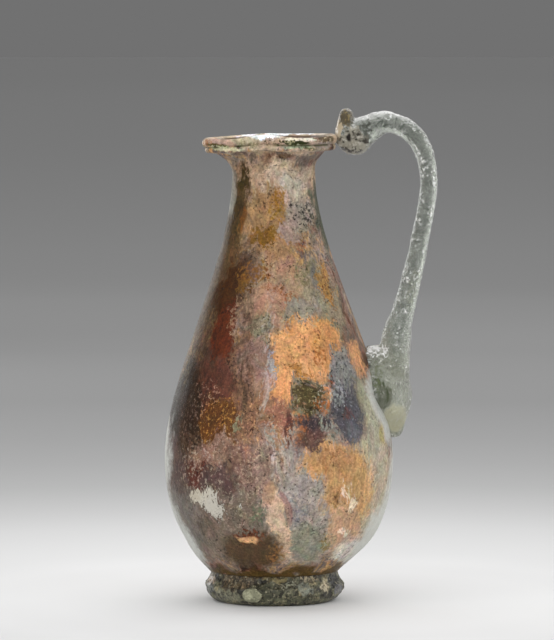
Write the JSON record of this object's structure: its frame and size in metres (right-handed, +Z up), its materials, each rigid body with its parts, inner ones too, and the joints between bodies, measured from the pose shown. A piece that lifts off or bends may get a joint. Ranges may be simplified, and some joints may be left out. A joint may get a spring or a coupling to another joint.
{
  "type": "miniature oinochoe",
  "caption": "Small blown-glass jug with a pear-shaped body, pinched pouring mouth, coil foot and one drawn handle with a thumb rest.",
  "frame": {"origin": "middle of the whole jug's footprint, on the surface that it stands on", "axes": "+Z up through the mouth; the spout points along -X and the handle along +X; +Y is to the right of someone who holds the handle and looks along the spout"},
  "size_m": [0.0546, 0.0458, 0.0984],
  "materials": {
    "weathered_glass": "blown glass under a buried weathering film: pink-buff, ochre, brown and violet patches, satin with clear edges",
    "pitted_glass": "dark grey-green glass coil, pitted, with a buff burial crust",
    "clear_glass": "clear grey-aqua drawn glass, glossy with fine pits and draw lines",
    "broken_glass": "rough broken glass, dulled by burial",
    "lime": "matt pale lime crust"
  },
  "bodies": {
    "root": {"blown_vessel": "weathered_glass", "foot_ring": "pitted_glass", "handle": "clear_glass", "pontil_scar": "broken_glass", "lime_lump": "lime"}
  },
  "joints": []
}
